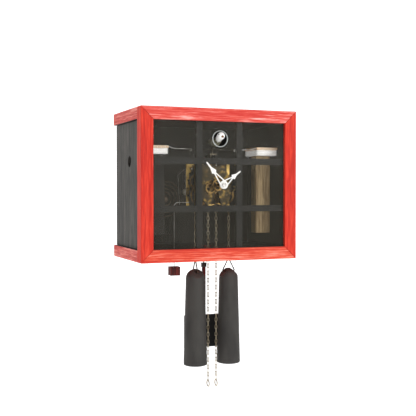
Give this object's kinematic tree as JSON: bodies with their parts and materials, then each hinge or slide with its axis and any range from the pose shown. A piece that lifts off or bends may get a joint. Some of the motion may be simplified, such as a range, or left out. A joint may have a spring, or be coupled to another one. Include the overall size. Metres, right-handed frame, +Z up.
{
  "type": "cuckoo clock",
  "caption": "Wall cuckoo clock in a glazed square wooden case, with chain-hung weights, pendulum, sliding bird, whistles and a gong.",
  "frame": {"origin": "centre of the case's back face, on the wall plane", "axes": "+X to the right seen from the front, +Y into the wall (the front faces -Y), +Z up"},
  "size_m": [0.264, 0.1729, 0.4479],
  "materials": {
    "red_wood": "red stain, brushed grain",
    "black_wood": "black stain, brushed grain",
    "natural_wood": "bare spruce",
    "clear_glass": "clear",
    "white_cloth": "white bellows cloth",
    "white_paint": "white",
    "brass": "rolled",
    "steel": "drawn",
    "chain": "darkened",
    "charcoal_iron": "matte charcoal paint",
    "black_metal": "satin black"
  },
  "bodies": {
    "root": {"top_board": "red_wood", "bottom_board": "red_wood", "left_side_panel": "black_wood", "right_side_panel": "black_wood", "back_panel": "black_wood", "frame_top_rail": "red_wood", "frame_bottom_rail": "red_wood", "frame_left_stile": "red_wood", "frame_right_stile": "red_wood", "glass_panel": "clear_glass", "muntin_left": "black_wood", "muntin_right": "black_wood", "muntin_upper": "black_wood", "muntin_lower": "black_wood", "movement_front_plate": "brass", "movement_rear_plate": "brass", "left_whistle": "natural_wood", "right_whistle": "natural_wood", "left_bellows": "white_cloth", "right_bellows": "white_cloth", "bird_guide": "brass", "gong_coil": "steel", "gong_post": "brass", "time_chain_loaded": "chain", "time_chain_free": "chain", "strike_chain_loaded": "chain", "strike_chain_free": "chain"},
    "minute_arbor": {"cannon_pinion": "steel", "minute_hand": "white_paint", "hand_nut": "steel"},
    "hour_pipe": {"hour_wheel": "brass", "hour_hand": "white_paint"},
    "minute_wheel": {"minute_wheel": "brass"},
    "time_weight": {"time_weight": "charcoal_iron", "time_weight_hook": "steel"},
    "strike_weight": {"strike_weight": "charcoal_iron", "strike_weight_hook": "steel"},
    "time_ring": {"time_chain_ring": "chain"},
    "strike_ring": {"strike_chain_ring": "chain"},
    "time_great_wheel": {"time_great_wheel": "brass"},
    "intermediate_wheel": {"intermediate_wheel": "brass"},
    "centre_wheel": {"centre_wheel": "brass"},
    "third_wheel": {"third_wheel": "brass"},
    "escape_wheel": {"escape_wheel": "brass"},
    "strike_great_wheel": {"strike_great_wheel": "brass"},
    "pin_wheel": {"pin_wheel": "brass"},
    "warning_wheel": {"warning_wheel": "brass"},
    "fly": {"fly": "brass"},
    "pendulum": {"pendulum_leader": "black_metal", "pendulum_rod": "red_wood", "pendulum_bob": "black_metal"},
    "anchor": {"anchor": "steel"},
    "bird": {"bird": "white_paint", "bird_carriage": "brass"},
    "left_lid": {"left_bellows_lid": "natural_wood"},
    "right_lid": {"right_bellows_lid": "natural_wood"},
    "hammer": {"hammer": "steel"},
    "shutoff": {"shutoff_wire": "steel", "shutoff_cube": "red_wood"}
  },
  "joints": [
    {"name": "minute_hand_turn", "type": "hinge", "parent": "root", "child": "minute_arbor", "pos_m": [0, -0.16, 0], "axis": [0, 1, 0], "continuous": true},
    {"name": "hour_hand_turn", "type": "hinge", "parent": "root", "child": "hour_pipe", "pos_m": [0, -0.155, 0], "axis": [0, 1, 0], "continuous": true},
    {"name": "minute_wheel_turn", "type": "hinge", "parent": "root", "child": "minute_wheel", "pos_m": [-0.01098, -0.141, -0.00512], "axis": [0, 1, 0], "continuous": true},
    {"name": "time_weight_drop", "type": "slide", "parent": "root", "child": "time_weight", "axis": [0, 0, -1], "range_m": [0, 0.04], "deforming": ["time_chain_loaded"]},
    {"name": "time_ring_rise", "type": "slide", "parent": "root", "child": "time_ring", "axis": [0, 0, 1], "range_m": [0, 0.04], "deforming": ["time_chain_free"]},
    {"name": "strike_weight_drop", "type": "slide", "parent": "root", "child": "strike_weight", "axis": [0, 0, -1], "range_m": [0, 0.04], "deforming": ["strike_chain_loaded"]},
    {"name": "strike_ring_rise", "type": "slide", "parent": "root", "child": "strike_ring", "axis": [0, 0, 1], "range_m": [0, 0.04], "deforming": ["strike_chain_free"]},
    {"name": "centre_wheel_turn", "type": "hinge", "parent": "root", "child": "centre_wheel", "pos_m": [0, -0.119, 0], "axis": [0, 1, 0], "continuous": true},
    {"name": "intermediate_wheel_turn", "type": "hinge", "parent": "root", "child": "intermediate_wheel", "pos_m": [0.0165, -0.119, 0.00589], "axis": [0, 1, 0], "continuous": true},
    {"name": "time_great_wheel_turn", "type": "hinge", "parent": "root", "child": "time_great_wheel", "pos_m": [0.018, -0.119, -0.016], "axis": [0, 1, 0], "continuous": true},
    {"name": "third_wheel_turn", "type": "hinge", "parent": "root", "child": "third_wheel", "pos_m": [-0.00153, -0.119, 0.01745], "axis": [0, 1, 0], "continuous": true},
    {"name": "escape_wheel_turn", "type": "hinge", "parent": "root", "child": "escape_wheel", "pos_m": [0.01034, -0.119, 0.02249], "axis": [0, 1, 0], "continuous": true},
    {"name": "pin_wheel_turn", "type": "hinge", "parent": "root", "child": "pin_wheel", "pos_m": [-0.02105, -0.119, 0.00573], "axis": [0, 1, 0], "continuous": true},
    {"name": "strike_great_wheel_turn", "type": "hinge", "parent": "root", "child": "strike_great_wheel", "pos_m": [-0.018, -0.119, -0.016], "axis": [0, 1, 0], "continuous": true},
    {"name": "warning_wheel_turn", "type": "hinge", "parent": "root", "child": "warning_wheel", "pos_m": [-0.0164, -0.119, 0.02262], "axis": [0, 1, 0], "continuous": true},
    {"name": "fly_turn", "type": "hinge", "parent": "root", "child": "fly", "pos_m": [-0.00822, -0.119, 0.03259], "axis": [0, 1, 0], "continuous": true},
    {"name": "pendulum_swing", "type": "hinge", "parent": "root", "child": "pendulum", "pos_m": [0, -0.082, 0.0365], "axis": [0, 1, 0], "range_deg": [-3, 3]},
    {"name": "anchor_rock", "type": "hinge", "parent": "root", "child": "anchor", "pos_m": [0, -0.106, 0.031], "axis": [0, 1, 0], "range_deg": [-3.6, 3.6]},
    {"name": "bird_slide", "type": "slide", "parent": "root", "child": "bird", "axis": [0, -1, 0], "range_m": [0, 0.016]},
    {"name": "left_lid_lift", "type": "hinge", "parent": "root", "child": "left_lid", "pos_m": [-0.0955, -0.0765, 0.0583], "axis": [-1, 0, 0], "range_deg": [0, 10], "deforming": ["left_bellows"]},
    {"name": "right_lid_lift", "type": "hinge", "parent": "root", "child": "right_lid", "pos_m": [0.0955, -0.0765, 0.0583], "axis": [-1, 0, 0], "range_deg": [0, 10], "deforming": ["right_bellows"]},
    {"name": "hammer_swing", "type": "hinge", "parent": "root", "child": "hammer", "pos_m": [-0.029, -0.09, 0.0264], "axis": [0, 1, 0], "range_deg": [-12, 0]},
    {"name": "shutoff_pull", "type": "slide", "parent": "root", "child": "shutoff", "axis": [0, 0, -1], "range_m": [0, 0.006]}
  ],
  "couplings": [
    {"joint": "hour_hand_turn", "follows": "minute_hand_turn", "ratio": 0.083333},
    {"joint": "minute_wheel_turn", "follows": "minute_hand_turn", "ratio": -0.33333},
    {"joint": "time_ring_rise", "follows": "time_weight_drop", "ratio": 1},
    {"joint": "strike_ring_rise", "follows": "strike_weight_drop", "ratio": 1},
    {"joint": "centre_wheel_turn", "follows": "minute_hand_turn", "ratio": 1},
    {"joint": "intermediate_wheel_turn", "follows": "minute_hand_turn", "ratio": -0.25},
    {"joint": "time_great_wheel_turn", "follows": "minute_hand_turn", "ratio": 0.0625},
    {"joint": "third_wheel_turn", "follows": "minute_hand_turn", "ratio": -4},
    {"joint": "escape_wheel_turn", "follows": "minute_hand_turn", "ratio": 16},
    {"joint": "strike_great_wheel_turn", "follows": "pin_wheel_turn", "ratio": -0.25},
    {"joint": "warning_wheel_turn", "follows": "pin_wheel_turn", "ratio": -4},
    {"joint": "fly_turn", "follows": "pin_wheel_turn", "ratio": 16},
    {"joint": "anchor_rock", "follows": "pendulum_swing", "ratio": 1.1897}
  ]
}
